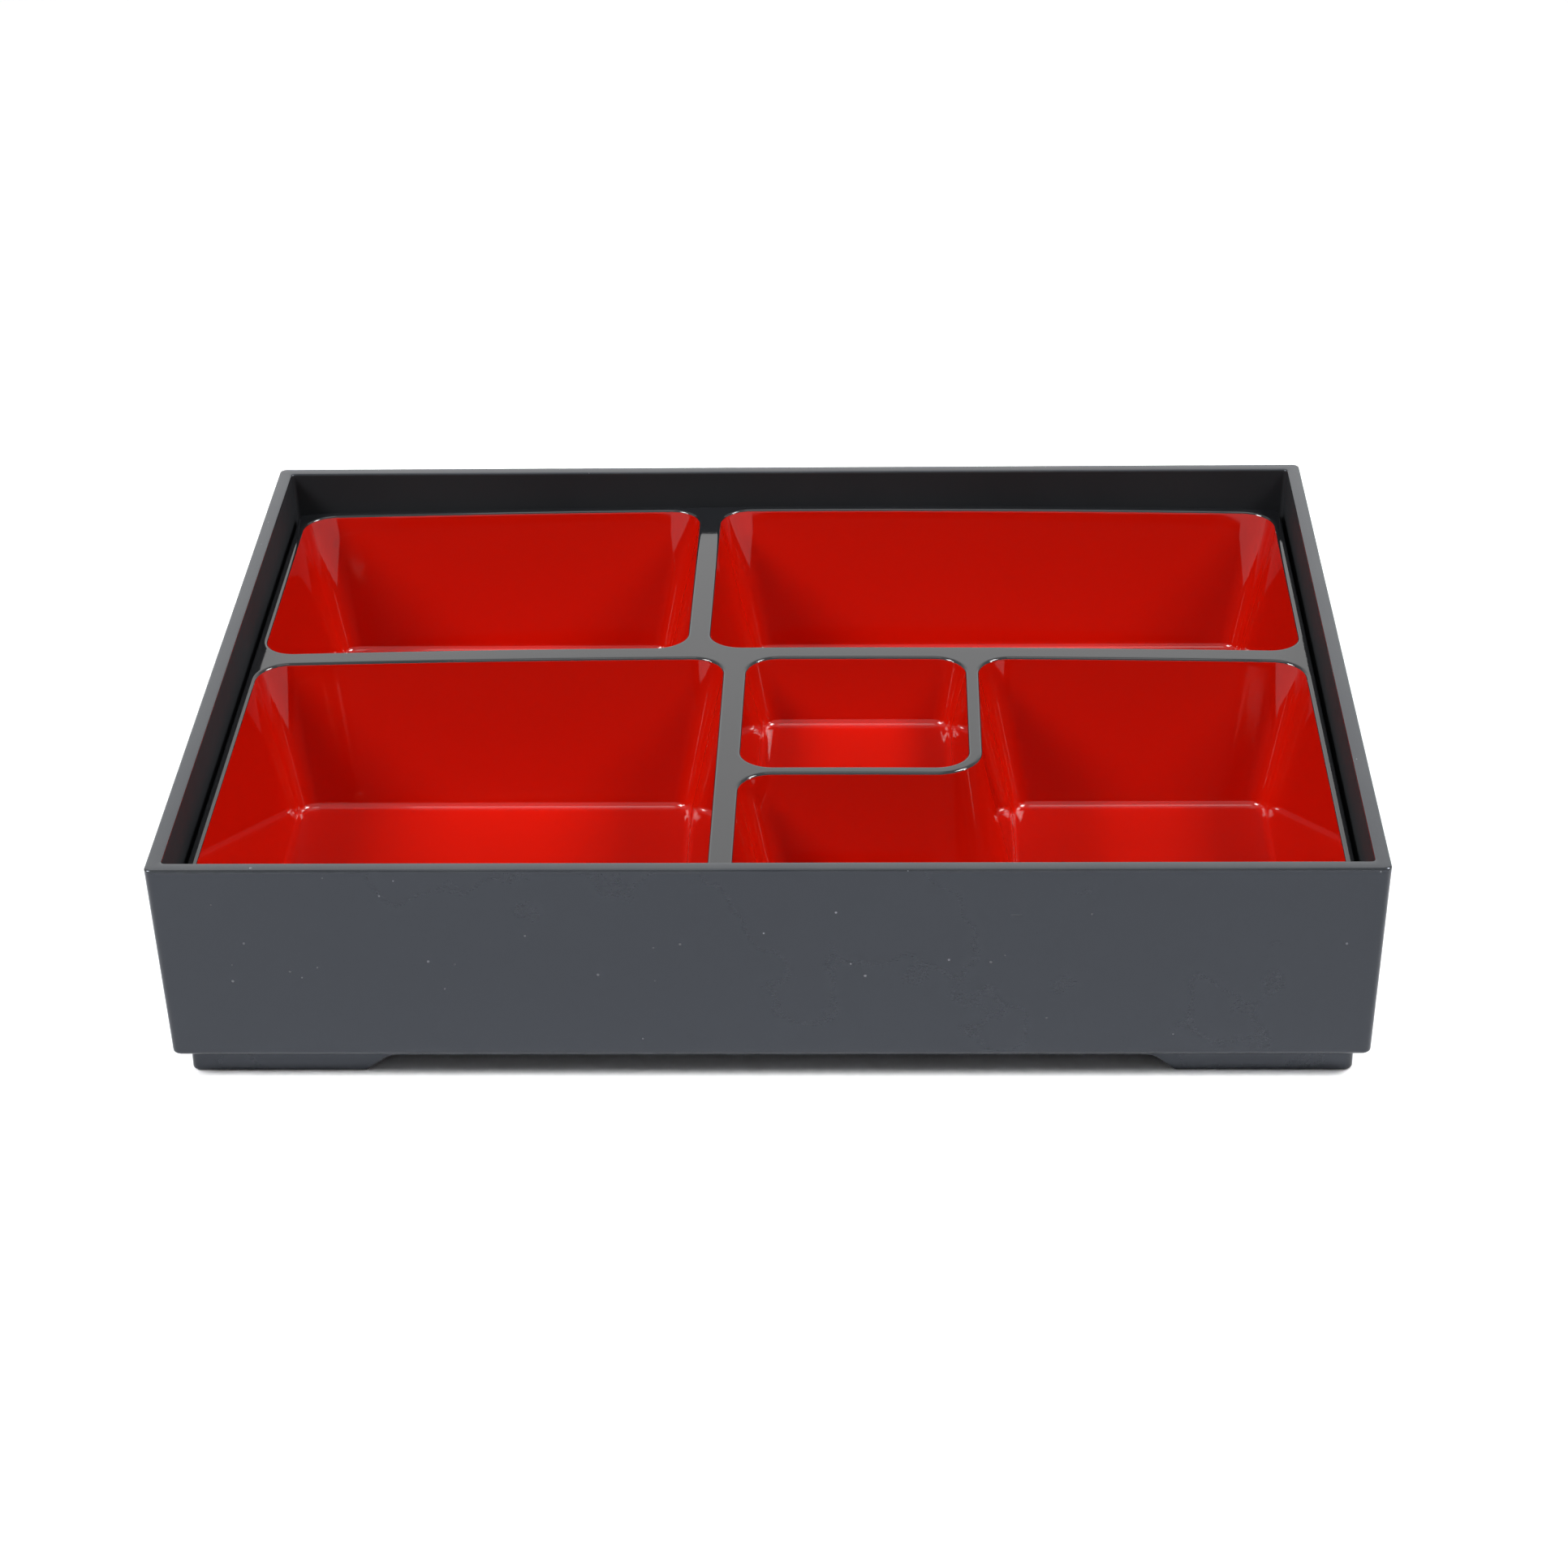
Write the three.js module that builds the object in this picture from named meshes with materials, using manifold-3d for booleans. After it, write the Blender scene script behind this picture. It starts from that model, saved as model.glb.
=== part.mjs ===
// A restaurant bento box: a footed outer box and a lift-out tray whose five wells are lacquered red.
// Millimetres, +Z up. The origin is the middle of the footprint on the table, and the front faces -Y.
import * as THREE from "three";
import { mergeVertices } from "three/addons/utils/BufferGeometryUtils.js";
import Module from "manifold-3d";

const wasm = await Module();
wasm.setup();

// Outer box
const BOX_WIDTH = 273; // across X at the rim
const BOX_DEPTH = 215; // across Y at the rim
const BOX_HEIGHT = 55.5; // from the table to the rim
const BOX_WALL = 3.4; // level thickness of the side walls
const BOX_FLOOR = 2; // thickness of the floor
const FLOOR_SINK = 1.5; // how far the floor lies below the foot of the side walls, inside the rib
const BOX_DRAFT = THREE.MathUtils.degToRad(2); // lean of the side walls
const BOX_CORNER = 1.6; // radius of the upright outside corners
const BOX_INNER_CORNER = 1.2; // radius of the upright inside corners
const BASE_EDGE = 1.2; // radius of the edge under the side walls
const INNER_EDGE = 2; // radius between the floor and the walls inside
const RIM_EDGE = 0.4; // radius of the rim's two edges

// Feet: the corners of a rib round the base, which is cut back in the middle of each side
const FOOT_HEIGHT = 6.2;
const FOOT_GAP = 3.9; // height of the gap between two feet, under the rib
const FOOT_INSET = 3.3; // from the side of the body to the outside of the rib, at the base
const FOOT_RIB = 4; // thickness of the rib
const FOOT_LENGTH = 40; // of each foot along each side, on the table
const FOOT_END_RUN = 5.2; // how much longer a foot is at the top of the gap
const FOOT_CORNER = 2; // radius of the outside corner of a foot
const FOOT_EDGE = 0.7; // radius of the edges on the table

// Tray
const TRAY_DROP = 9.4; // from the rim down to the top of the tray
const TRAY_SHEET = 1.6; // thickness of the tray all over
const TRAY_CORNER = 2; // radius of the corners of the tray's outline
const TRAY_PLAY = 1.7; // gap between the edge of the tray and the side walls of the box
const TRAY_END_PLAY = 2.1; // the same gap at the front and the back
const SEAT_GAP = 0.3; // gap under the wells that stand on the floor of the box

// Wells, with sizes taken at the lip where the lacquer starts
const RIM_LAND = 1.8; // from the edge of the tray to the outer wells
const ROW_DIVIDER = 5.8; // between the back row and the front row
const COLUMN_DIVIDER = 5.4; // between wells that stand side by side
const SMALL_STRIP = 3; // between the small well and the corner well that wraps round it
const BACK_LEFT_WIDTH = 106.2;
const SMALL_WIDTH = 54.1;
const SMALL_DEPTH = 56.5;
const SMALL_DROP = 16.6; // depth of the small well, which stops short of the floor of the box
const CORNER_WIDTH = 80.3; // of the corner well, behind its leg
const CORNER_LEG = 53.1; // depth of the leg of the corner well, in front of the small well
const WELL_SLOPE = THREE.MathUtils.degToRad(13.5); // lean of the walls of the wells
const LIP_CORNER = 8; // radius of the upright corners at the lip
const FLOOR_CORNER = 5; // radius of the upright corners at the foot of the wall
const FLOOR_EDGE = 2.8; // radius between the wall and the floor of a well
const LIP_EDGE = 0.6; // radius of the edge between the lip and the top of the tray
const COAT = 0.25; // thickness of the lacquer
const COAT_GAP = 0.25; // gap between the lacquer and the tray

// Facets of round stretches
const CORNER_STEPS = 5;
const EDGE_STEPS = 3;
const CORNER_SHARE = 0.49; // most of a side that the arc of one corner takes
const WELD = 1e-4; // vertices closer than this are one

// Heights and setbacks that follow from the sizes above
const BOX_FLOOR_UNDER = FOOT_HEIGHT - FLOOR_SINK;
const BOX_FLOOR_TOP = BOX_FLOOR_UNDER + BOX_FLOOR;
const TRAY_TOP = BOX_HEIGHT - TRAY_DROP;
const COAT_SEAT = COAT + COAT_GAP; // from the face of the lacquer to the face of the tray under it
const DEEP_FLOOR = BOX_FLOOR_TOP + SEAT_GAP + TRAY_SHEET + COAT_SEAT;
const SMALL_FLOOR = TRAY_TOP - SMALL_DROP;
const boxLean = (z) => (BOX_HEIGHT - RIM_EDGE - z) * Math.tan(BOX_DRAFT);
const INNER_SETBACK = BOX_WALL + boxLean(TRAY_TOP); // from the rim to the walls beside the tray
const TRAY_HALF_X = BOX_WIDTH / 2 - INNER_SETBACK - TRAY_PLAY;
const TRAY_HALF_Y = BOX_DEPTH / 2 - INNER_SETBACK - TRAY_END_PLAY;

const blackPlastic = new THREE.MeshStandardMaterial({ color: 0x26272a, roughness: 0.3, metalness: 0 });
const redLacquer = new THREE.MeshStandardMaterial({ color: 0xc4160a, roughness: 0.12, metalness: 0 });

// Corners of a rectangle, counterclockwise.
function rectangle(left, right, front, back) {
  const corners = [[left, front], [right, front], [right, back], [left, back]];
  return corners.map(([x, y]) => new THREE.Vector2(x, y));
}

// An outline of right-angled corners drawn in by `inset`, with each corner rounded to radiusAt(turn). Turn is
// +1 at a corner that points out and -1 at one that points in. A radius never passes half a side.
function ring(corners, inset, radiusAt) {
  const count = corners.length;
  const along = corners.map((p, i) => corners[(i + 1) % count].clone().sub(p).normalize());
  const inward = along.map((e) => new THREE.Vector2(-e.y, e.x));
  const before = (i) => (i + count - 1) % count;
  const drawn = corners.map((p, i) =>
    p.clone().addScaledVector(inward[before(i)], inset).addScaledVector(inward[i], inset));
  const side = drawn.map((p, i) => p.distanceTo(drawn[(i + 1) % count]));
  return drawn.flatMap((p, i) => {
    const turn = Math.sign(along[before(i)].cross(along[i]));
    const radius = Math.min(radiusAt(turn), CORNER_SHARE * side[i], CORNER_SHARE * side[before(i)]);
    const centre = p.clone().addScaledVector(along[before(i)], -radius).addScaledVector(along[i], radius);
    return Array.from({ length: CORNER_STEPS + 1 }, (_, k) => {
      const angle = (Math.PI / 2) * (k / CORNER_STEPS);
      return centre.clone()
        .addScaledVector(along[i], -radius * Math.cos(angle))
        .addScaledVector(along[before(i)], radius * Math.sin(angle));
    });
  });
}

// A closed surface through rings of equal length, each a list of points and a height. The first and last
// rings are capped, or joined to each other where `looped` is set.
function loft(levels, looped = false) {
  const count = levels[0].points.length;
  const vertices = levels.flatMap(({ points, z }) => points.flatMap((p) => [p.x, p.y, z]));
  const triangles = [];
  const bands = looped ? levels.length : levels.length - 1;
  for (let band = 0; band < bands; band++) {
    const low = band * count;
    const high = ((band + 1) % levels.length) * count;
    for (let i = 0; i < count; i++) {
      const j = (i + 1) % count;
      triangles.push(low + i, low + j, high + j, low + i, high + j, high + i);
    }
  }
  if (!looped) {
    const last = (levels.length - 1) * count;
    for (const [a, b, c] of THREE.ShapeUtils.triangulateShape(levels[0].points, [])) triangles.push(a, c, b);
    for (const [a, b, c] of THREE.ShapeUtils.triangulateShape(levels.at(-1).points, []))
      triangles.push(last + a, last + b, last + c);
  }
  const geometry = new THREE.BufferGeometry();
  geometry.setAttribute("position", new THREE.Float32BufferAttribute(vertices, 3));
  geometry.setIndex(triangles);
  return geometry;
}

// A geometry as a solid that can be joined and cut.
function solid(geometry) {
  const bare = geometry.clone();
  bare.deleteAttribute("normal");
  bare.deleteAttribute("uv");
  const merged = mergeVertices(bare, WELD);
  return new wasm.Manifold(new wasm.Mesh({
    numProp: 3,
    vertProperties: new Float32Array(merged.getAttribute("position").array),
    triVerts: new Uint32Array(merged.index.array),
  }));
}

// A joined and cut solid as a geometry.
function geometryOf(made) {
  const mesh = made.getMesh();
  const geometry = new THREE.BufferGeometry();
  geometry.setAttribute("position", new THREE.BufferAttribute(mesh.vertProperties, 3));
  geometry.setIndex(new THREE.BufferAttribute(mesh.triVerts, 1));
  return geometry;
}

// Angles from `start` to a right angle, in even steps.
function quarter(start) {
  return Array.from({ length: EDGE_STEPS + 1 }, (_, k) => start + (Math.PI / 2 - start) * (k / EDGE_STEPS));
}

// Outer box: one shell, outside up from the base and inside down to the floor, on a rib with four feet. The
// floor's underside is a plate sunk inside the rib.
function outerBox() {
  const rim = rectangle(-BOX_WIDTH / 2, BOX_WIDTH / 2, -BOX_DEPTH / 2, BOX_DEPTH / 2);
  const level = (inset, z, radius) => ({ points: ring(rim, inset, () => radius), z });

  const baseCentre = boxLean(FOOT_HEIGHT + BASE_EDGE) + BASE_EDGE;
  const base = quarter(0).reverse().map((angle) =>
    level(baseCentre - BASE_EDGE * Math.cos(angle), FOOT_HEIGHT + BASE_EDGE * (1 - Math.sin(angle)),
      BOX_CORNER));
  const rimFaces = [
    level(0, BOX_HEIGHT - RIM_EDGE, BOX_CORNER),
    level(RIM_EDGE, BOX_HEIGHT, BOX_CORNER),
    level(BOX_WALL - RIM_EDGE, BOX_HEIGHT, BOX_INNER_CORNER),
    level(BOX_WALL, BOX_HEIGHT - RIM_EDGE, BOX_INNER_CORNER),
  ];
  const innerCentre = BOX_WALL + boxLean(BOX_FLOOR_TOP + INNER_EDGE) + INNER_EDGE;
  const inside = quarter(0).map((angle) =>
    level(innerCentre - INNER_EDGE * Math.cos(angle), BOX_FLOOR_TOP + INNER_EDGE * (1 - Math.sin(angle)),
      BOX_INNER_CORNER));
  const shell = solid(loft([...base, ...rimFaces, ...inside]));

  const ribOutside = boxLean(FOOT_HEIGHT) + FOOT_INSET;
  const ribInside = ribOutside + FOOT_RIB;
  const root = (FOOT_HEIGHT + BOX_FLOOR_TOP) / 2;
  const rib = solid(loft([
    level(ribInside - FOOT_EDGE, 0, FOOT_CORNER),
    level(ribOutside + FOOT_EDGE, 0, FOOT_CORNER),
    level(ribOutside, FOOT_EDGE, FOOT_CORNER),
    level(ribOutside, root, FOOT_CORNER),
    level(ribInside, root, FOOT_CORNER),
    level(ribInside, FOOT_EDGE, FOOT_CORNER),
  ], true));

  const gapAcross = footGap(BOX_WIDTH / 2 - ribOutside - FOOT_LENGTH, BOX_DEPTH);
  const gapAlong = footGap(BOX_DEPTH / 2 - ribOutside - FOOT_LENGTH, BOX_WIDTH).rotateZ(Math.PI / 2);
  const feet = rib.subtract(solid(gapAcross)).subtract(solid(gapAlong));
  const plateInset = (ribOutside + ribInside) / 2;
  const plate = solid(loft([
    level(plateInset, BOX_FLOOR_UNDER, FOOT_CORNER), level(plateInset, root, FOOT_CORNER),
  ]));
  return geometryOf(shell.add(feet).add(plate));
}

// The gap between two feet: a prism along Y, narrower at its top than on the table.
function footGap(halfOnTable, length) {
  const spare = FOOT_GAP; // how far the prism runs below the table
  const slope = FOOT_END_RUN / FOOT_GAP;
  const profile = new THREE.Shape([
    new THREE.Vector2(-halfOnTable - slope * spare, -spare),
    new THREE.Vector2(halfOnTable + slope * spare, -spare),
    new THREE.Vector2(halfOnTable - FOOT_END_RUN, FOOT_GAP),
    new THREE.Vector2(-halfOnTable + FOOT_END_RUN, FOOT_GAP),
  ]);
  const prism = new THREE.ExtrudeGeometry(profile, { depth: length, bevelEnabled: false });
  return prism.rotateX(Math.PI / 2).translate(0, length / 2, 0);
}

// Lip outlines of the wells and the heights of their floors
const LEFT = -TRAY_HALF_X + RIM_LAND;
const RIGHT = TRAY_HALF_X - RIM_LAND;
const FRONT = -TRAY_HALF_Y + RIM_LAND;
const BACK = TRAY_HALF_Y - RIM_LAND;
const SMALL_FRONT = FRONT + CORNER_LEG + SMALL_STRIP;
const FRONT_ROW_BACK = SMALL_FRONT + SMALL_DEPTH;
const BACK_ROW_FRONT = FRONT_ROW_BACK + ROW_DIVIDER;
const CORNER_LEFT = RIGHT - CORNER_WIDTH;
const SMALL_RIGHT = CORNER_LEFT - SMALL_STRIP;
const SMALL_LEFT = SMALL_RIGHT - SMALL_WIDTH;
const WELLS = {
  back_left: { lip: rectangle(LEFT, LEFT + BACK_LEFT_WIDTH, BACK_ROW_FRONT, BACK), floor: DEEP_FLOOR },
  back_right: {
    lip: rectangle(LEFT + BACK_LEFT_WIDTH + COLUMN_DIVIDER, RIGHT, BACK_ROW_FRONT, BACK),
    floor: DEEP_FLOOR,
  },
  front_left: { lip: rectangle(LEFT, SMALL_LEFT - COLUMN_DIVIDER, FRONT, FRONT_ROW_BACK), floor: DEEP_FLOOR },
  small: { lip: rectangle(SMALL_LEFT, SMALL_RIGHT, SMALL_FRONT, FRONT_ROW_BACK), floor: SMALL_FLOOR },
  corner: {
    lip: [
      ...rectangle(SMALL_LEFT, RIGHT, FRONT, FRONT_ROW_BACK).slice(0, 3),
      new THREE.Vector2(CORNER_LEFT, FRONT_ROW_BACK),
      new THREE.Vector2(CORNER_LEFT, FRONT + CORNER_LEG),
      new THREE.Vector2(SMALL_LEFT, FRONT + CORNER_LEG),
    ],
    floor: DEEP_FLOOR,
  },
};

// Levels of a well's face from the floor up to height `top`, moved `out` from the lacquered face. The wall
// leans by WELL_SLOPE and runs into the floor by an arc. A corner that points in keeps one centre at all
// heights.
function wellLevels({ lip, floor }, out, top) {
  const wallInset = (z) => (TRAY_TOP - z) * Math.tan(WELL_SLOPE);
  const arcHeight = floor + FLOOR_EDGE;
  const arcInset = wallInset(arcHeight) + FLOOR_EDGE / Math.cos(WELL_SLOPE);
  const footInset = arcInset - FLOOR_EDGE * Math.cos(WELL_SLOPE);
  const level = (inset, z, cornerRadius) => ({
    points: ring(lip, inset, (turn) => (turn > 0 ? cornerRadius : LIP_CORNER + SMALL_STRIP + inset)),
    z,
  });
  const reach = FLOOR_EDGE + out;
  const arc = quarter(WELL_SLOPE).reverse().map((angle) => {
    const inset = arcInset - reach * Math.cos(angle);
    return level(inset, arcHeight - reach * Math.sin(angle), FLOOR_CORNER + footInset - inset);
  });
  const topInset = wallInset(top) - out / Math.cos(WELL_SLOPE);
  const wallShare = wallInset(top) / footInset;
  const topRadius = THREE.MathUtils.lerp(LIP_CORNER, FLOOR_CORNER, wallShare) + out / Math.cos(WELL_SLOPE);
  return [...arc, level(topInset, top, topRadius)];
}

// The lacquer in one well: a thin cup, outside up from the floor and inside down again.
function lacquer(well) {
  const top = TRAY_TOP - LIP_EDGE;
  return loft([...wellLevels(well, COAT, top), ...wellLevels(well, 0, top).reverse()]);
}

// The hollow of one well in the tray, flared over the lip and run on above the top.
function hollow(well) {
  const shaft = wellLevels(well, COAT_SEAT, TRAY_TOP - LIP_EDGE);
  const open = -COAT_SEAT / Math.cos(WELL_SLOPE) - LIP_EDGE;
  const flare = (z) => ({
    points: ring(well.lip, open, (turn) => (turn > 0 ? LIP_CORNER - open : LIP_CORNER + SMALL_STRIP + open)),
    z,
  });
  return loft([...shaft, flare(TRAY_TOP), flare(TRAY_TOP + TRAY_SHEET)]);
}

// Tray: a flat top sheet with the outsides of the wells joined under it and the hollows cut out
function compartmentTray() {
  const edge = rectangle(-TRAY_HALF_X, TRAY_HALF_X, -TRAY_HALF_Y, TRAY_HALF_Y);
  const outline = ring(edge, 0, () => TRAY_CORNER);
  let tray = solid(loft([{ points: outline, z: TRAY_TOP - TRAY_SHEET }, { points: outline, z: TRAY_TOP }]));
  const wells = Object.values(WELLS);
  const shellOut = COAT_SEAT + TRAY_SHEET;
  const shellTop = TRAY_TOP - TRAY_SHEET / 2;
  for (const well of wells) tray = tray.add(solid(loft(wellLevels(well, shellOut, shellTop))));
  for (const well of wells) tray = tray.subtract(solid(hollow(well)));
  return geometryOf(tray);
}

function piece(name, geometry, material) {
  const mesh = new THREE.Mesh(geometry, material);
  mesh.name = name;
  return mesh;
}

const tray = new THREE.Group();
tray.add(piece("compartment_tray", compartmentTray(), blackPlastic));
for (const [name, well] of Object.entries(WELLS)) {
  tray.add(piece(`lacquer_${name}`, lacquer(well), redLacquer));
}

const bentoBox = new THREE.Group();
bentoBox.add(piece("outer_box", outerBox(), blackPlastic), tray);

export default bentoBox;
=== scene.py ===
"""Looks of the bento box: satin black box, lift-out tray and five red lacquered wells, in a white studio."""

import math

import bpy
import numpy as np
from mathutils import Matrix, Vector
from mathutils.geometry import delaunay_2d_cdt


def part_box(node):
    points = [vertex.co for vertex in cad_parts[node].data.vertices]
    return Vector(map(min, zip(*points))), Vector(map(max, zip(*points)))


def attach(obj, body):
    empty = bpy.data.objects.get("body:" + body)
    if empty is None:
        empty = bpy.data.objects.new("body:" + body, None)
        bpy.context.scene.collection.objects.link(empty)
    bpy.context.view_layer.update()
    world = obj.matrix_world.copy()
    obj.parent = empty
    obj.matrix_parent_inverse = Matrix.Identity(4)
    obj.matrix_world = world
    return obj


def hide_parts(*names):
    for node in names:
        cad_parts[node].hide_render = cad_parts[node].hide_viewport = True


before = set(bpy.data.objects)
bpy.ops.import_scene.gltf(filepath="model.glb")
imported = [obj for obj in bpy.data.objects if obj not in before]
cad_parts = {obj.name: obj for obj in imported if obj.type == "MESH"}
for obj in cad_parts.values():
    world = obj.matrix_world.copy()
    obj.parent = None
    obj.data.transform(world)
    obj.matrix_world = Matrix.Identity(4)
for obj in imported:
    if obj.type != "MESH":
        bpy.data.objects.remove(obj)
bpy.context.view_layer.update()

# Shapes are worked out in millimetres and put into the meshes in metres.
MM = 0.001
PI = math.pi

# Outer box: walls that lean out to the rim, and the roundings of its corners and edges
BOX_WALL = 3.4
BOX_FLOOR = 2.0
FLOOR_SINK = 1.5
BOX_LEAN = math.tan(math.radians(2.0))
BOX_CORNER = 1.6
BOX_INNER_CORNER = 1.2
BASE_EDGE = 1.2
INNER_EDGE = 2.0
RIM_EDGE = 0.45

# Rib under the base, with a foot at each corner that ends in a slope
FOOT_HEIGHT = 6.2
FOOT_GAP = 3.9
FOOT_INSET = 3.3
FOOT_RIB = 4.0
FOOT_LENGTH = 40.0
FOOT_CORNER = 2.0
FOOT_EDGE = 0.7
FOOT_ROOT = 0.25
SLOPE_RUN = 5.2
SLOPE_TOP_EASE = 1.2
SLOPE_FOOT_EASE = 0.3

# Tray: its sheet, and how far its top rises in the middle and sags from there to its ends
TRAY_SHEET = 1.6
TRAY_CORNER = 2.0
TRAY_EDGE = 0.4
BOW_RISE = 0.3
BOW_SAG = 1.6

# Wells, measured from the line where the lacquered wall would meet the tray's top
COAT_PROUD = 0.113
SMALL_STRIP = 3.0
WELL_SLOPE = math.radians(13.5)
LIP_CORNER = 8.0
LIP_ROUND = 0.8
FLOOR_CORNER = 5.0
FLOOR_EDGE = 2.0
COAT = 0.25
COAT_SEAT = 0.5
COAT_BRIM = math.radians(24.0)
COLLAR = 0.95
HAIRLINE = 0.01

# Fineness of the grids
CORNER_STEPS = 12
EDGE_STEPS = 6
FILLET_STEPS = 10
FEWEST_STEPS = 2
SUPPORT = 0.35
BOX_SPACING = 30.0
TRAY_SPACING = 6.0
RIB_SPACING = 12.0
SLOPE_SPACING = 0.4
SLOPE_BEFORE = 3.0
SLOPE_AFTER = 1.0
MERGE = 1e-5
SHARP_ANGLE = math.radians(40.0)

# Which of its piece's finishes a face has
MAIN, SECOND = 0, 1

# Colours of the finishes, and a painted cool tint on the satin box's reflections
BLACK_DEEP = (0.0098, 0.0106, 0.0125, 1)
BLACK_PALE = (0.0125, 0.0135, 0.0155, 1)
BLACK_RUBBED = (0.02, 0.021, 0.021, 1)
BLACK_SCUFFED = (0.03, 0.03, 0.03, 1)
DUST_ON_BLACK = (0.13, 0.13, 0.135, 1)
RED_DEEP = (0.4, 0.004, 0.0005, 1)
RED_PALE = (0.44, 0.005, 0.0009, 1)
DUST_ON_RED = (0.55, 0.08, 0.06, 1)
PAINTED_COOL_REFLECTION = (0.79, 0.86, 1.0, 1)
WHITE = (1, 1, 1, 1)

# Camera, fitted to the edges of the box in the photograph: metres and degrees
PHOTO_PIXELS = 1932
FOCAL_PIXELS = 4639.2
SENSOR = 36.0
CAMERA_PLACE = (0.02803, -0.81743, 0.46818)
CAMERA_YAW = 1.895
CAMERA_PITCH = 28.851
CAMERA_ROLL = 1.067

# Lights: name, place, width and depth in metres, and watts. The mirrored ones don't light a matt surface.
LEFT_LAMP = (-1.03, -0.48, 1.13)
RIGHT_LAMP = (1.03, -0.16, 1.2)
SOFTBOX, BULB, STRIP = (0.5, 0.5), (0.34, 0.34), (0.1, 0.3)
LIGHTS = (
    ("left_softbox", LEFT_LAMP, SOFTBOX, 23.0),
    ("right_softbox", RIGHT_LAMP, SOFTBOX, 22.5),
)
MIRRORED_LIGHTS = (
    ("left_bulb", LEFT_LAMP, BULB, 100.0),
    ("right_bulb", RIGHT_LAMP, BULB, 100.0),
    ("left_strip", (-1.25, -0.33, 0.66), STRIP, 3.0),
    ("right_strip", (1.25, -0.33, 0.66), STRIP, 3.0),
    ("top_panel", (0.0, -0.1, 1.6), (0.6, 0.6), 3.0),
    ("back_panel", (0.0, 1.2, 0.7), (2.4, 1.0), 5.0),
)

# Surroundings: how bright they are as light, and where they are seen or mirrored
FLOOR_REACH = 4.0
FLOOR_DROP = 0.00005
FLOOR_AS_LIGHT = (0.8, 0.8, 0.8, 1)
FLOOR_SEEN = (1.24, 1.24, 1.25, 1)
FLOOR_FADE = (0.35, 0.9)
HORIZON = 0.14
CEILING = 0.16


def corners_of(node):
    """Lowest and highest corner of a CAD node, in millimetres."""
    low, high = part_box(node)
    return np.array(low) / MM, np.array(high) / MM


def rectangle(left, right, front, back):
    """Corners of a rectangle, counterclockwise."""
    return np.array([[left, front], [right, front], [right, back], [left, back]], float)


def arc(centre_inset, centre_height, radius, start, end, steps):
    """Insets and heights on a circle, from the start angle to the end angle in even steps."""
    angle = np.linspace(start, end, steps + 1)
    return np.stack([centre_inset + radius * np.cos(angle), centre_height + radius * np.sin(angle)], 1)


def evenly(corners, spacing):
    """Shares of its length at which each side of an outline is divided, evenly and about a spacing apart."""
    lengths = np.linalg.norm(np.roll(corners, -1, 0) - corners, axis=1)
    steps = np.maximum(FEWEST_STEPS, np.round(lengths / spacing)).astype(int)
    return [np.arange(1, count) / count for count in steps]


def carried(corners, profile, out_radius, in_radius, shares):
    """A profile of insets and heights carried round an outline of right-angled corners.

    At each station the sides move in by the inset and each corner becomes a quarter circle that touches both
    of its sides: out_radius where the corner points out, in_radius where it points in. Each side is divided
    at its shares.
    """
    inset, height = profile[:, 0], profile[:, 1]
    sides = np.roll(corners, -1, 0) - corners
    along = sides / np.linalg.norm(sides, axis=1)[:, None]
    before = np.roll(along, 1, 0)
    inward = np.stack([-along[:, 1], along[:, 0]], 1)
    drawn = corners + inset[:, None, None] * (inward + np.roll(inward, 1, 0))
    turn = before[:, 0] * along[:, 1] - before[:, 1] * along[:, 0]
    out_radius = np.broadcast_to(out_radius, inset.shape)
    in_radius = np.broadcast_to(in_radius, inset.shape)
    radius = np.where(turn > 0, out_radius[:, None], in_radius[:, None])[..., None]
    centre = drawn + radius * (along - before)
    angle = np.linspace(0, PI / 2, CORNER_STEPS + 1)[:, None]
    swing = np.sin(angle) * before[:, None] - np.cos(angle) * along[:, None]
    arcs = centre[:, :, None] + radius[:, :, None] * swing
    starts, ends = arcs[:, :, -1], np.roll(arcs[:, :, 0], -1, 1)
    stretches = []
    for side, share in enumerate(shares):
        share = share[:, None]
        straight = starts[:, side, None] * (1 - share) + ends[:, side, None] * share
        stretches += [arcs[:, side], straight]
    plan = np.concatenate(stretches, 1)
    level = np.broadcast_to(height[:, None, None], plan.shape[:2] + (1,))
    return np.concatenate([plan, level], 2)


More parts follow.
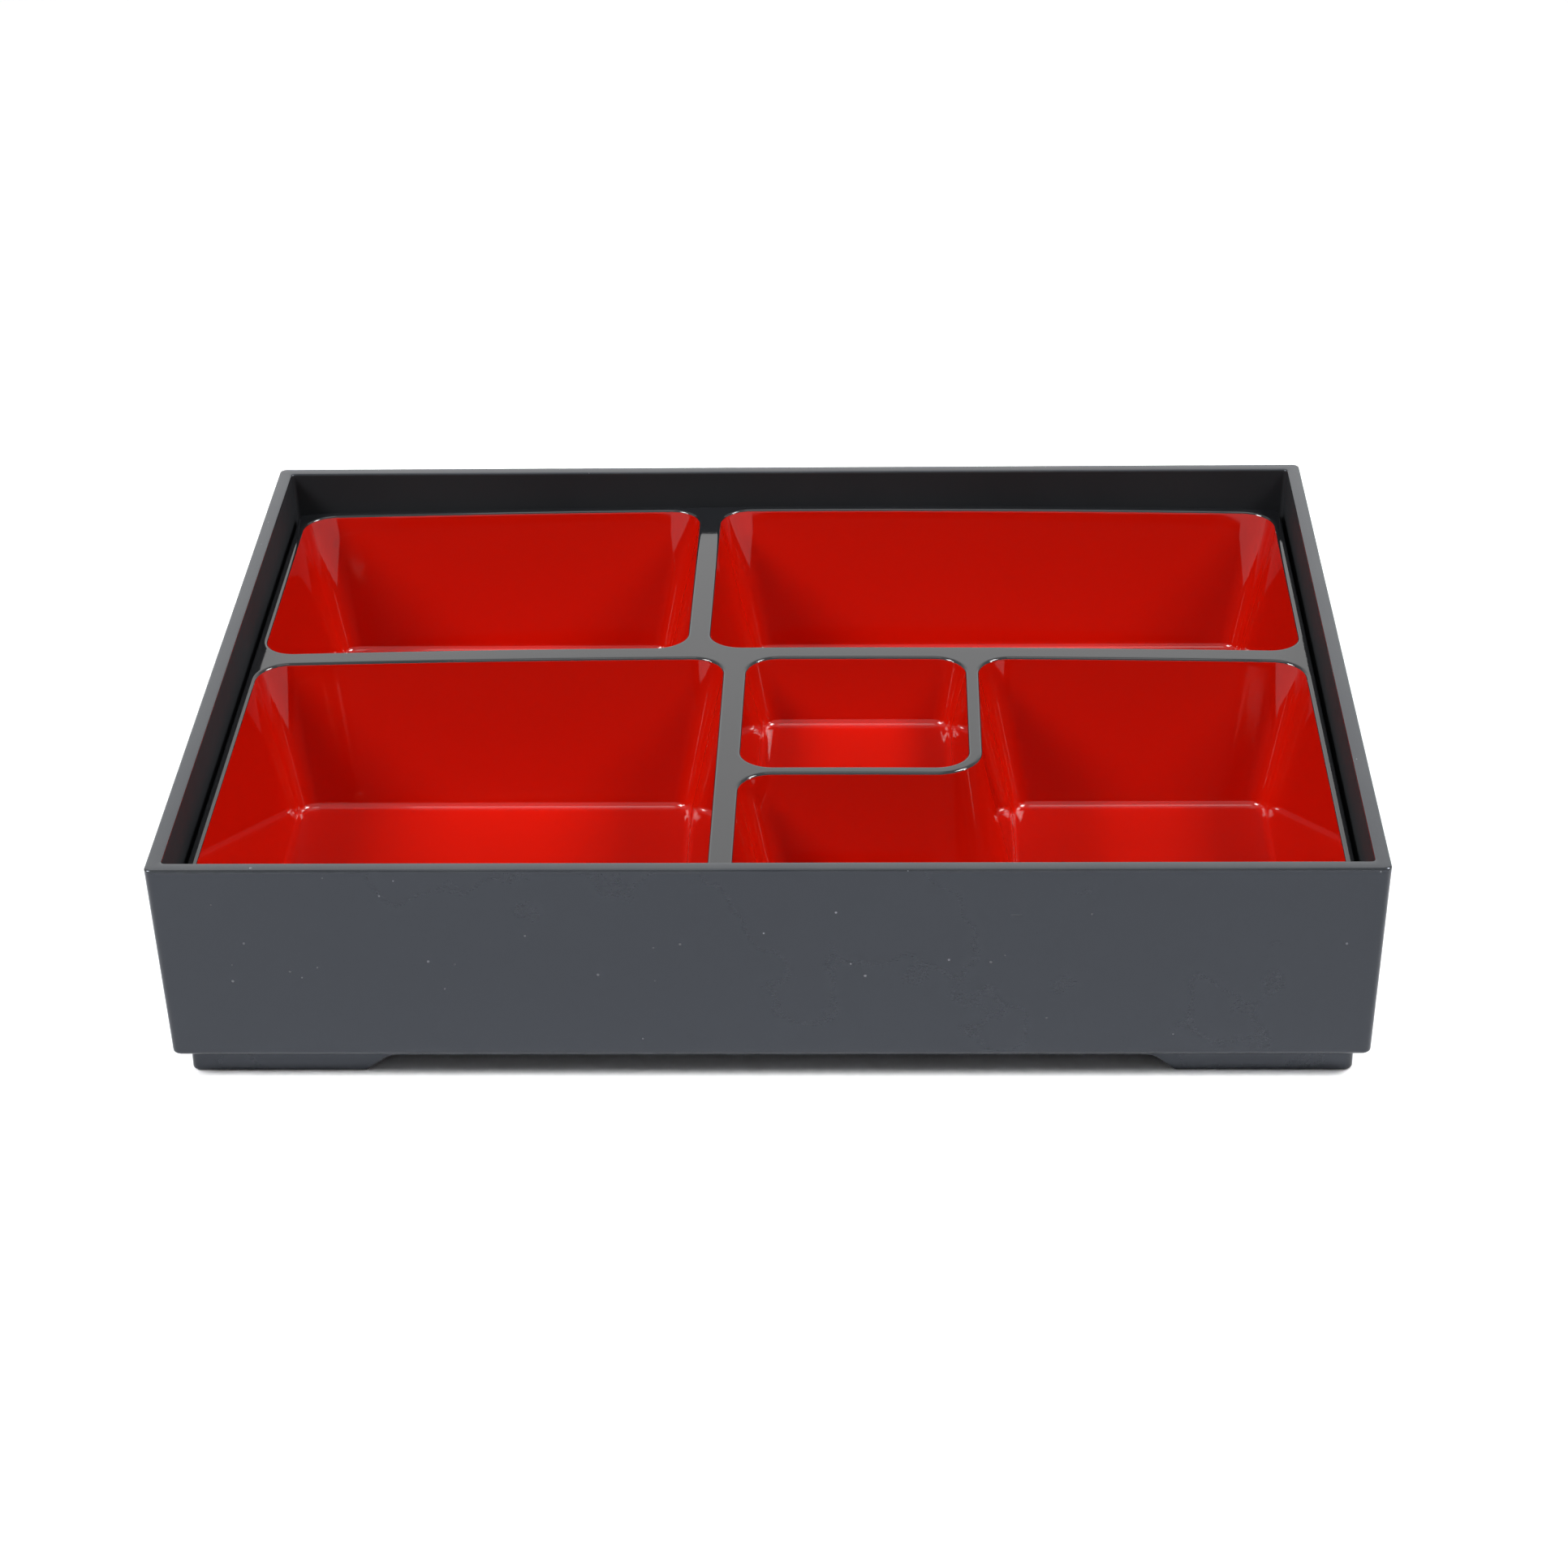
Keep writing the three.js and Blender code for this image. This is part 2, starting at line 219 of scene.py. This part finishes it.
class Skin:
    """Points, edge wear, faces and their finishes, gathered from grids, caps and pierced sheets."""

    def __init__(self):
        self.points, self.wear, self.faces, self.finish, self.count = [], [], [], [], 0

    def add(self, faces, finish):
        """Adds faces that all have one finish, or each its own."""
        self.faces += faces
        self.finish += np.broadcast_to(finish, len(faces)).tolist()

    def grid(self, surface, wear=0.0, backwards=False, finish=MAIN):
        """Adds a grid whose rows follow a profile and whose columns close round. Gives its point numbers."""
        rows, columns = surface.shape[:2]
        index = self.count + np.arange(rows * columns).reshape(rows, columns)
        self.points.append(surface.reshape(-1, 3))
        self.wear.append(np.broadcast_to(np.reshape(wear, (-1, 1)), (rows, columns)).ravel())
        self.count += rows * columns
        beside = np.roll(index, -1, 1)
        quads = np.stack([index[:-1], beside[:-1], beside[1:], index[1:]], -1).reshape(-1, 4)
        each = np.broadcast_to(np.reshape(finish, (-1, 1)), (rows - 1, columns)).ravel()
        self.add((quads[:, ::-1] if backwards else quads).tolist(), each)
        return index

    def cap(self, ring, down=False, finish=MAIN):
        """Closes a flat ring with one face."""
        self.add([(ring[::-1] if down else ring).tolist()], finish)

    def sheet(self, rings, down=False, finish=MAIN):
        """Fills the flat space inside the first ring and outside the others with triangles."""
        index = np.concatenate(rings)
        plan = np.concatenate(self.points)[index, :2]
        ends = np.cumsum([len(ring) for ring in rings])
        loops = [list(range(end - len(ring), end)) for ring, end in zip(rings, ends)]
        inside_with_holes = 2
        made = delaunay_2d_cdt(plan.tolist(), [], loops, inside_with_holes, MERGE)
        faces, sources = made[2], made[3]
        number = index[np.array([source[0] for source in sources])]
        triangles = number[np.array(faces)]
        self.add((triangles[:, ::-1] if down else triangles).tolist(), finish)


def make_piece(name, skin, materials, body, node, shift=None):
    """Puts a skin into a mesh in metres, smooth but for its sharp edges, and hands it to its body."""
    points = np.concatenate(skin.points)
    if shift is not None:
        points = shift(points)
    mesh = bpy.data.meshes.new(name)
    mesh.from_pydata((points * MM).tolist(), [], skin.faces)
    wear = mesh.attributes.new("wear", "FLOAT", "POINT")
    wear.data.foreach_set("value", np.concatenate(skin.wear).astype(np.float32))
    mesh.shade_smooth()
    mesh.set_sharp_from_angle(angle=SHARP_ANGLE)
    for material in materials:
        mesh.materials.append(material)
    mesh.polygons.foreach_set("material_index", skin.finish)
    mesh.update()
    piece = bpy.data.objects.new(name, mesh)
    bpy.context.scene.collection.objects.link(piece)
    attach(piece, body)
    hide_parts(node)


# Places that come from the frame
BOX_LOW, BOX_HIGH = corners_of("outer_box")
TRAY_LOW, TRAY_HIGH = corners_of("compartment_tray")
RIM_OUTLINE = rectangle(BOX_LOW[0], BOX_HIGH[0], BOX_LOW[1], BOX_HIGH[1])
RIM_HEIGHT = BOX_HIGH[2] - RIM_EDGE
TRAY_OUTLINE = rectangle(TRAY_LOW[0], TRAY_HIGH[0], TRAY_LOW[1], TRAY_HIGH[1])
TRAY_TOP = TRAY_HIGH[2]
FLOOR_UNDER = FOOT_HEIGHT - FLOOR_SINK
FLOOR_TOP = FLOOR_UNDER + BOX_FLOOR


def box_lean(height):
    """How far the outer walls stand in from the rim at a height."""
    return (RIM_HEIGHT - height) * BOX_LEAN


def box_shell():
    """Outer box: a profile up the outside, over the rim and down the inside, carried round the rim's outline.

    The main finish reaches over the rim, and the second one covers the inside below it.
    """
    base_height = FOOT_HEIGHT + BASE_EDGE
    base_inset = box_lean(base_height) + BASE_EDGE
    inner_height = FLOOR_TOP + INNER_EDGE
    inner_inset = BOX_WALL + box_lean(inner_height) + INNER_EDGE
    outside = np.concatenate([
        [[base_inset + SUPPORT, FOOT_HEIGHT]],
        arc(base_inset, base_height, BASE_EDGE, -PI / 2, -PI, FILLET_STEPS),
        [[box_lean(base_height + SUPPORT), base_height + SUPPORT]],
        [[box_lean(RIM_HEIGHT - SUPPORT), RIM_HEIGHT - SUPPORT]],
        arc(RIM_EDGE, RIM_HEIGHT, RIM_EDGE, PI, PI / 2, EDGE_STEPS),
    ])
    inside = np.concatenate([
        arc(BOX_WALL - RIM_EDGE, RIM_HEIGHT, RIM_EDGE, PI / 2, 0, EDGE_STEPS),
        [[BOX_WALL + box_lean(RIM_HEIGHT - SUPPORT), RIM_HEIGHT - SUPPORT]],
        [[BOX_WALL + box_lean(inner_height + SUPPORT), inner_height + SUPPORT]],
        arc(inner_inset, inner_height, INNER_EDGE, PI, 1.5 * PI, FILLET_STEPS),
        [[inner_inset + SUPPORT, FLOOR_TOP]],
    ])
    profile = np.concatenate([outside, inside])
    radius = np.concatenate([np.full(len(outside), BOX_CORNER), np.full(len(inside), BOX_INNER_CORNER)])
    rubbed = (profile[:, 1] >= RIM_HEIGHT).astype(float)
    below_rim = np.arange(len(profile) - 1) >= len(outside) + EDGE_STEPS
    skin = Skin()
    surface = carried(RIM_OUTLINE, profile, radius, radius, evenly(RIM_OUTLINE, BOX_SPACING))
    index = skin.grid(surface, rubbed, finish=np.where(below_rim, SECOND, MAIN))
    skin.cap(index[0], down=True)
    skin.cap(index[-1], finish=SECOND)
    return skin


def rib_lift(along, foot_end):
    """Height of the rib's lower edge over the table, by the distance from the middle of a side.

    A straight slope rises from the end of the foot to the top of the gap. A parabola eases its top and foot.
    """
    def ease(first, second, reach):
        return reach / 4 * np.maximum(1 - np.abs(first - second) / reach, 0) ** 2

    slope = (foot_end - np.abs(along)) * FOOT_GAP / SLOPE_RUN
    risen = np.maximum(slope, 0) + ease(slope, 0, SLOPE_FOOT_EASE)
    return np.minimum(risen, FOOT_GAP) - ease(risen, FOOT_GAP, SLOPE_TOP_EASE)


def base_and_feet():
    """Underside with its rib and four feet: a section carried round the base.

    The section runs down the outside, under the rib and up inside it. Its lower part is lifted by rib_lift
    along each side, so it stands on the table at the corners. Stations lie close together on the slopes at
    the ends of the feet. The section ends at the sunken underside of the floor, which closes it, and its top
    is sunk into the shell.
    """
    outside = box_lean(FOOT_HEIGHT) + FOOT_INSET
    inside = outside + FOOT_RIB
    rib = np.concatenate([
        [[outside, FOOT_EDGE + SUPPORT]],
        arc(outside + FOOT_EDGE, FOOT_EDGE, FOOT_EDGE, PI, 1.5 * PI, EDGE_STEPS),
        arc(inside - FOOT_EDGE, FOOT_EDGE, FOOT_EDGE, 1.5 * PI, 2 * PI, EDGE_STEPS),
    ])
    section = np.concatenate([[[outside, FOOT_HEIGHT + FOOT_ROOT]], rib, [[inside, FLOOR_UNDER]]])
    lifted = np.concatenate([[0], np.ones(len(rib)), [0]])
    foot_ends = BOX_HIGH[:2] - outside - FOOT_LENGTH
    half = BOX_HIGH[:2] - outside - FOOT_CORNER
    shares = []
    for foot_end, reach in zip(foot_ends, half):
        near = np.arange(foot_end - SLOPE_RUN - SLOPE_BEFORE, foot_end + SLOPE_AFTER, SLOPE_SPACING)
        places = np.concatenate([-near, np.arange(RIB_SPACING - reach, reach, RIB_SPACING), near])
        shares.append(np.unique((places + reach) / (2 * reach)))
    radius = np.maximum(FOOT_CORNER + outside - section[:, 0], FOOT_EDGE)
    surface = carried(RIM_OUTLINE, section, radius, 0, shares * 2)
    lift = np.maximum(rib_lift(surface[..., 0], foot_ends[0]), rib_lift(surface[..., 1], foot_ends[1]))
    surface[..., 2] += lift * lifted[:, None]
    skin = Skin()
    index = skin.grid(surface, backwards=True)
    skin.cap(index[0])
    skin.cap(index[-1], down=True)
    return skin


def lip_outlines():
    """Corners of the five wells at the lip and the heights of their floors, from the CAD lacquer."""
    wells = {}
    for name in ("back_left", "back_right", "front_left", "small", "corner"):
        low, high = corners_of("lacquer_" + name)
        left, front = low[:2] + COAT_PROUD
        right, back = high[:2] - COAT_PROUD
        wells[name] = (rectangle(left, right, front, back), low[2] + COAT)
    small, _ = wells["small"]
    around, floor = wells["corner"]
    left, back = around[0, 0], around[2, 1]
    step_x, step_y = small[1] + [SMALL_STRIP, -SMALL_STRIP]
    bent = [around[0], around[1], around[2], [step_x, back], [step_x, step_y], [left, step_y]]
    wells["corner"] = (np.array(bent), floor)
    return wells


WELLS = lip_outlines()
DEEP_FLOOR = WELLS["back_left"][1]
LIP_DROP = LIP_ROUND * (1 - math.sin(WELL_SLOPE))


def bow(points):
    """The tray's top is bowed: a parabola across X, fading to nothing at the floors of the deep wells."""
    share = np.clip((points[:, 2] - DEEP_FLOOR) / (TRAY_TOP - DEEP_FLOOR), 0, 1)
    lift = BOW_RISE - BOW_SAG * (points[:, 0] / TRAY_HIGH[0]) ** 2
    return points + np.stack([0 * lift, 0 * lift, lift * share], 1)


def wall_inset(height):
    """How far the lacquered wall of a well stands in from the lip at a height."""
    return (TRAY_TOP - height) * math.tan(WELL_SLOPE)


def lip_profile(out, start, end):
    """Profile of a well's rounded lip between two angles of its arc, moved out from the lacquered face."""
    centre_inset = wall_inset(TRAY_TOP - LIP_DROP) - LIP_ROUND * math.cos(WELL_SLOPE)
    profile = arc(centre_inset, TRAY_TOP - LIP_ROUND, LIP_ROUND - out, start, end, EDGE_STEPS)
    return profile, LIP_CORNER - profile[:, 0]


def well_profile(floor, out, top):
    """Profile of a well's face from a height down to the floor, moved out from the lacquered face.

    A straight lean runs into the floor by an arc. The corner radius narrows evenly from lip to floor.
    """
    centre_height = floor + FLOOR_EDGE
    centre_inset = wall_inset(centre_height) + FLOOR_EDGE / math.cos(WELL_SLOPE)
    foot_inset = centre_inset - FLOOR_EDGE * math.cos(WELL_SLOPE)
    reach = FLOOR_EDGE + out
    fillet = arc(centre_inset, centre_height, reach, PI + WELL_SLOPE, 1.5 * PI, FILLET_STEPS)
    above = fillet[0, 1] + SUPPORT
    side = out / math.cos(WELL_SLOPE)
    wall = [[wall_inset(height) - side, height] for height in (top - SUPPORT, above)]
    ledge = [[centre_inset + SUPPORT, floor - out]]
    profile = np.concatenate([wall, fillet, ledge])
    share = np.clip((profile[:, 0] + side) / foot_inset, 0, 1)
    lean_radius = LIP_CORNER + (FLOOR_CORNER - LIP_CORNER) * share + side
    arc_radius = FLOOR_CORNER + foot_inset - profile[:, 0]
    radius = np.where(profile[:, 1] >= above - HAIRLINE, lean_radius, arc_radius)
    return profile, radius


def well_grid(name, profile, radius):
    """A profile carried round the lip of a well. A corner that points in keeps one centre at all insets."""
    in_radius = LIP_CORNER + SMALL_STRIP + profile[:, 0]
    outline = WELLS[name][0]
    return carried(outline, profile, radius, in_radius, evenly(outline, TRAY_SPACING))


def coat_face(floor, out):
    """Profile of one face of the lacquer: from its brim over the lip, down the wall and on to the floor."""
    lip, lip_radius = lip_profile(out, COAT_BRIM, WELL_SLOPE)
    wall, wall_radius = well_profile(floor, out, lip[-1, 1])
    return np.concatenate([lip, wall]), np.concatenate([lip_radius, wall_radius])


def lacquer(name):
    """The lacquer in a well: a thin cup, outside up from the floor, over the brim and inside down again."""
    floor = WELLS[name][1]
    outer, outer_radius = coat_face(floor, COAT)
    inner, inner_radius = coat_face(floor, 0)
    profile = np.concatenate([outer[::-1], inner])
    radius = np.concatenate([outer_radius[::-1], inner_radius])
    skin = Skin()
    index = skin.grid(well_grid(name, profile, radius))
    skin.cap(index[0], down=True)
    skin.cap(index[-1])
    return skin


def tray_moulding():
    """Tray: a bowed top sheet with five wells, whose lips round over into their hollows, and their outsides.

    The outline's edge, each lip with its hollow and each outside are profiles carried round outlines. Two
    flat sheets, pierced by the outlines of the wells, join them at the top and underneath. The underside has
    the second finish.
    """
    skin = Skin()
    under = TRAY_TOP - TRAY_SHEET
    edge = np.concatenate([
        [[TRAY_EDGE + SUPPORT, under]],
        arc(TRAY_EDGE, under + TRAY_EDGE, TRAY_EDGE, -PI / 2, -PI, EDGE_STEPS),
        arc(TRAY_EDGE, TRAY_TOP - TRAY_EDGE, TRAY_EDGE, PI, PI / 2, EDGE_STEPS),
        [[TRAY_EDGE + SUPPORT, TRAY_TOP]],
    ])
    sides = evenly(TRAY_OUTLINE, TRAY_SPACING)
    band = skin.grid(carried(TRAY_OUTLINE, edge, TRAY_CORNER - edge[:, 0], 0, sides))
    tops, bottoms = [band[-1]], [band[0]]

    bare, bare_radius = lip_profile(0, PI / 2, COAT_BRIM + HAIRLINE)
    lip = np.concatenate([bare[:1] - [SUPPORT, 0], bare])
    lip_radius = np.concatenate([bare_radius[:1] + SUPPORT, bare_radius])
    shell = COAT_SEAT + TRAY_SHEET
    meets = TRAY_TOP - (shell / math.cos(WELL_SLOPE) - COLLAR) / math.tan(WELL_SLOPE)
    for name, (_, floor) in WELLS.items():
        hollow, hollow_radius = coat_face(floor, COAT_SEAT)
        down = np.concatenate([lip, hollow])
        radius = np.concatenate([lip_radius, hollow_radius])
        index = skin.grid(well_grid(name, down, radius))
        skin.cap(index[-1])
        tops.append(index[0])

        outside, outside_radius = well_profile(floor, shell, meets)
        up = np.concatenate([outside[::-1], [[-COLLAR, under]]])
        radius = np.concatenate([outside_radius[::-1], outside_radius[:1]])
        index = skin.grid(well_grid(name, up, radius), finish=SECOND)
        skin.cap(index[0], down=True, finish=SECOND)
        bottoms.append(index[-1])
    skin.sheet(tops)
    skin.sheet(bottoms, down=True, finish=SECOND)
    return skin


class Nodes:
    """Adds nodes to a node tree."""

    def __init__(self, tree):
        self.tree = tree

    def node(self, kind, inputs=None, **settings):
        """Adds a node, with settings on it and values or links on its inputs."""
        made = self.tree.nodes.new("ShaderNode" + kind)
        for key, value in settings.items():
            setattr(made, key, value)
        for key, value in (inputs or {}).items():
            self.feed(made.inputs[key], value)
        return made

    def feed(self, socket, value):
        """Sets an input to a value, or links it to another node's output."""
        if isinstance(value, bpy.types.NodeSocket):
            self.tree.links.new(value, socket)
        else:
            socket.default_value = value

    def sum(self, operation, first, second):
        """A sum of two values, such as MULTIPLY."""
        return self.node("Math", {0: first, 1: second}, operation=operation).outputs[0]

    def spread(self, value, old, new, **settings):
        """Stretches a value from an old range to a new one, held at its ends."""
        ranges = {"From Min": old[0], "From Max": old[1], "To Min": new[0], "To Max": new[1]}
        return self.node("MapRange", {"Value": value, **ranges}, **settings).outputs[0]

    def between(self, share, first, second):
        """A colour between two, by a share from 0 to 1."""
        first_colour, second_colour, mixed_colour = 6, 7, 2
        inputs = {"Factor": share, first_colour: first, second_colour: second}
        return self.node("Mix", inputs, data_type="RGBA").outputs[mixed_colour]

    def seen_rays(self):
        """1 for camera, glossy and transmission rays, 0 for the rays that light a surface."""
        path = self.node("LightPath").outputs
        total = path["Is Camera Ray"]
        for kind in ("Is Glossy Ray", "Is Transmission Ray"):
            total = self.sum("MAXIMUM", total, path[kind])
        return total


class Shading(Nodes):
    """A procedural material: nodes on Object coordinates that end in one Principled shader."""

    def __init__(self, name):
        self.material = bpy.data.materials.new(name)
        self.material.use_nodes = True
        super().__init__(self.material.node_tree)
        self.shader = self.tree.nodes["Principled BSDF"]
        self.places = self.node("TexCoord").outputs["Object"]

    def set(self, **values):
        """Sets or links the shader's inputs, named with _ for a space."""
        for key, value in values.items():
            self.feed(self.shader.inputs[key.replace("_", " ")], value)

    def stretched(self, scale):
        """Object coordinates scaled along each axis."""
        return self.node("Mapping", {"Vector": self.places, "Scale": scale}).outputs[0]

    def noise(self, scale, detail):
        """Cloudy noise from 0 to 1, scale blotches to the metre."""
        inputs = {"Vector": self.places, "Scale": scale, "Detail": detail}
        return self.node("TexNoise", inputs).outputs["Fac"]

    def specks(self, scale, size, kept, places=None):
        """Specks: discs of a radius up to size, in a kept share of random cells, scale cells to the metre.

        A disc lies round the middle of its cell. The value is 1 in a speck and 0 elsewhere.
        """
        cells = self.node("TexVoronoi", {"Vector": places or self.places, "Scale": scale})
        parts = self.node("SeparateColor", {"Color": cells.outputs["Color"]})
        chosen = self.sum("GREATER_THAN", parts.outputs[0], 1 - kept)
        radius = self.sum("MULTIPLY", parts.outputs[1], size * scale)
        inside = self.sum("LESS_THAN", cells.outputs["Distance"], radius)
        return self.sum("MULTIPLY", chosen, inside)

    def relief(self, height, strength, distance):
        """Bump from a height."""
        inputs = {"Height": height, "Strength": strength, "Distance": distance}
        return self.node("Bump", inputs).outputs[0]


def black_plastic(name, polish, ior, dust_share, reflection_tint=WHITE):
    """Black moulded plastic: fine grain, patchy polish, rubbed rim, dust specks and short level scuffs."""
    shading = Shading(name)
    rubbed = shading.node("Attribute", attribute_name="wear").outputs["Fac"]
    patches = shading.noise(scale=22.0, detail=3.0)
    base = shading.between(patches, BLACK_DEEP, BLACK_PALE)
    rub_marks = shading.spread(shading.noise(scale=60.0, detail=4.0), old=(0.3, 0.7), new=(0.2, 1.0))
    base = shading.between(shading.sum("MULTIPLY", rubbed, rub_marks), base, BLACK_RUBBED)
    level = shading.stretched((0.12, 1.0, 1.0))
    scuffs = shading.specks(scale=300.0, size=0.0002, kept=dust_share / 2, places=level)
    base = shading.between(scuffs, base, BLACK_SCUFFED)
    dust = shading.specks(scale=320.0, size=0.00035, kept=dust_share)
    base = shading.between(dust, base, DUST_ON_BLACK)
    rub_roughness = 0.06
    rough = shading.spread(patches, old=(0.35, 0.65), new=polish)
    rough = shading.sum("ADD", rough, shading.sum("MULTIPLY", rubbed, rub_roughness))
    grain = shading.relief(shading.noise(scale=1400.0, detail=2.0), strength=0.05, distance=0.0001)
    # The reflection tint colours the mirrored light: a cool one is a painted cool reflection.
    shading.set(Base_Color=base, Roughness=rough, IOR=ior, Specular_Tint=reflection_tint, Normal=grain)
    return shading.material


def red_lacquer():
    """Glossy red lacquer: slight clouds in the colour, a faint orange peel and a few specks of dust."""
    shading = Shading("red_lacquer")
    clouds = shading.noise(scale=14.0, detail=3.0)
    base = shading.between(clouds, RED_DEEP, RED_PALE)
    dust = shading.specks(scale=90.0, size=0.0002, kept=0.08)
    base = shading.between(dust, base, DUST_ON_RED)
    rough = shading.spread(clouds, old=(0.3, 0.7), new=(0.03, 0.045))
    peel = shading.relief(shading.noise(scale=260.0, detail=1.0), strength=0.02, distance=0.0002)
    shading.set(Base_Color=base, Roughness=rough, IOR=1.41, Normal=peel)
    return shading.material


def pale_floor():
    """A wide pale floor that keeps the object's shadow. It is lifted to white where it is seen or mirrored.

    There it also fades into the white surround, by its distance from the middle.
    """
    paint = Shading("pale_floor")
    seen = paint.seen_rays()
    colour = paint.between(seen, FLOOR_AS_LIGHT, FLOOR_SEEN)
    shaded = paint.node("BsdfDiffuse", {"Color": colour}).outputs[0]
    white = paint.node("Emission").outputs[0]
    distance = paint.node("VectorMath", {0: paint.places}, operation="LENGTH").outputs["Value"]
    fade = paint.spread(distance, FLOOR_FADE, (0, seen), interpolation_type="SMOOTHSTEP")
    faded = paint.node("MixShader", {0: fade, 1: shaded, 2: white}).outputs[0]
    paint.tree.nodes.remove(paint.shader)
    paint.feed(paint.tree.nodes["Material Output"].inputs["Surface"], faded)

    plan = rectangle(-FLOOR_REACH, FLOOR_REACH, -FLOOR_REACH, FLOOR_REACH)
    mesh = bpy.data.meshes.new("floor")
    mesh.from_pydata([(x, y, -FLOOR_DROP) for x, y in plan.tolist()], [], [(0, 1, 2, 3)])
    mesh.materials.append(paint.material)
    floor = bpy.data.objects.new("floor", mesh)
    bpy.context.scene.collection.objects.link(floor)


def white_world():
    """A surround that is white where it is seen or mirrored. As light it goes from horizon to ceiling by Z."""
    world = bpy.data.worlds.new("white_studio")
    bpy.context.scene.world = world
    world.use_nodes = True
    sky = Nodes(world.node_tree)
    direction = sky.node("SeparateXYZ", {0: sky.node("TexCoord").outputs["Generated"]})
    as_light = sky.spread(direction.outputs["Z"], (0, 1), (HORIZON, CEILING))
    background = sky.tree.nodes["Background"].inputs
    sky.feed(background["Color"], WHITE)
    sky.feed(background["Strength"], sky.spread(sky.seen_rays(), (0, 1), (as_light, 1)))


def panel_light(name, place, size, watts, mirrored_only):
    """A soft rectangular light that faces the middle of the box: its own side, up and back axes."""
    light = bpy.data.lights.new(name, "AREA")
    light.shape = "RECTANGLE"
    light.size, light.size_y = size
    light.energy = watts
    lamp = bpy.data.objects.new(name, light)
    bpy.context.scene.collection.objects.link(lamp)
    back = np.array(place) / np.linalg.norm(place)
    side = np.cross([0.0, 0.0, 1.0], back)
    side /= np.linalg.norm(side)
    pose = np.eye(4)
    pose[:3, :3] = np.stack([side, np.cross(back, side), back], 1)
    pose[:3, 3] = place
    lamp.matrix_world = Matrix(pose.tolist())
    lamp.visible_camera = False
    lamp.visible_diffuse = not mirrored_only


def photo_camera():
    """The camera of the photograph: its own right, up and back axes from yaw, pitch and roll."""
    yaw, pitch, roll = np.radians([CAMERA_YAW, CAMERA_PITCH, CAMERA_ROLL])
    level = np.array([np.cos(yaw), np.sin(yaw), 0])
    ahead = np.array([-np.sin(yaw) * np.cos(pitch), np.cos(yaw) * np.cos(pitch), -np.sin(pitch)])
    below = np.cross(ahead, level)
    right = np.cos(roll) * level + np.sin(roll) * below
    down = np.cos(roll) * below - np.sin(roll) * level
    pose = np.eye(4)
    pose[:3, :3] = np.stack([right, -down, -ahead], 1)
    pose[:3, 3] = CAMERA_PLACE
    lens = bpy.data.cameras.new("photo_camera")
    lens.sensor_width = SENSOR
    lens.lens = FOCAL_PIXELS / PHOTO_PIXELS * SENSOR
    camera = bpy.data.objects.new("photo_camera", lens)
    bpy.context.scene.collection.objects.link(camera)
    camera.matrix_world = Matrix(pose.tolist())
    bpy.context.scene.camera = camera


# The satin box's cool reflection tint is painted light: its reflections are tinted as if the light it mirrors
# were bluish.
SATIN = black_plastic("satin_black", polish=(0.04, 0.07), ior=1.485, dust_share=0.2, reflection_tint=PAINTED_COOL_REFLECTION)
POLISHED = black_plastic("polished_black", polish=(0.04, 0.06), ior=1.46, dust_share=0.02)
GRAINED = black_plastic("grained_black", polish=(0.22, 0.3), ior=1.46, dust_share=0.02)
MATT = black_plastic("matt_black", polish=(0.6, 0.75), ior=1.15, dust_share=0.01)
RED = red_lacquer()

make_piece("box_shell", box_shell(), [SATIN, MATT], "outer_box", "outer_box")
make_piece("base_and_feet", base_and_feet(), [SATIN], "outer_box", "outer_box")
make_piece("tray_moulding", tray_moulding(), [POLISHED, GRAINED], "tray", "compartment_tray",
           shift=bow)
for well in WELLS:
    make_piece("red_well_" + well, lacquer(well), [RED], "tray", "lacquer_" + well,
               shift=bow)

pale_floor()
white_world()
for light in LIGHTS:
    panel_light(*light, mirrored_only=False)
for light in MIRRORED_LIGHTS:
    panel_light(*light, mirrored_only=True)
photo_camera()
bpy.context.scene.view_settings.view_transform = "Standard"
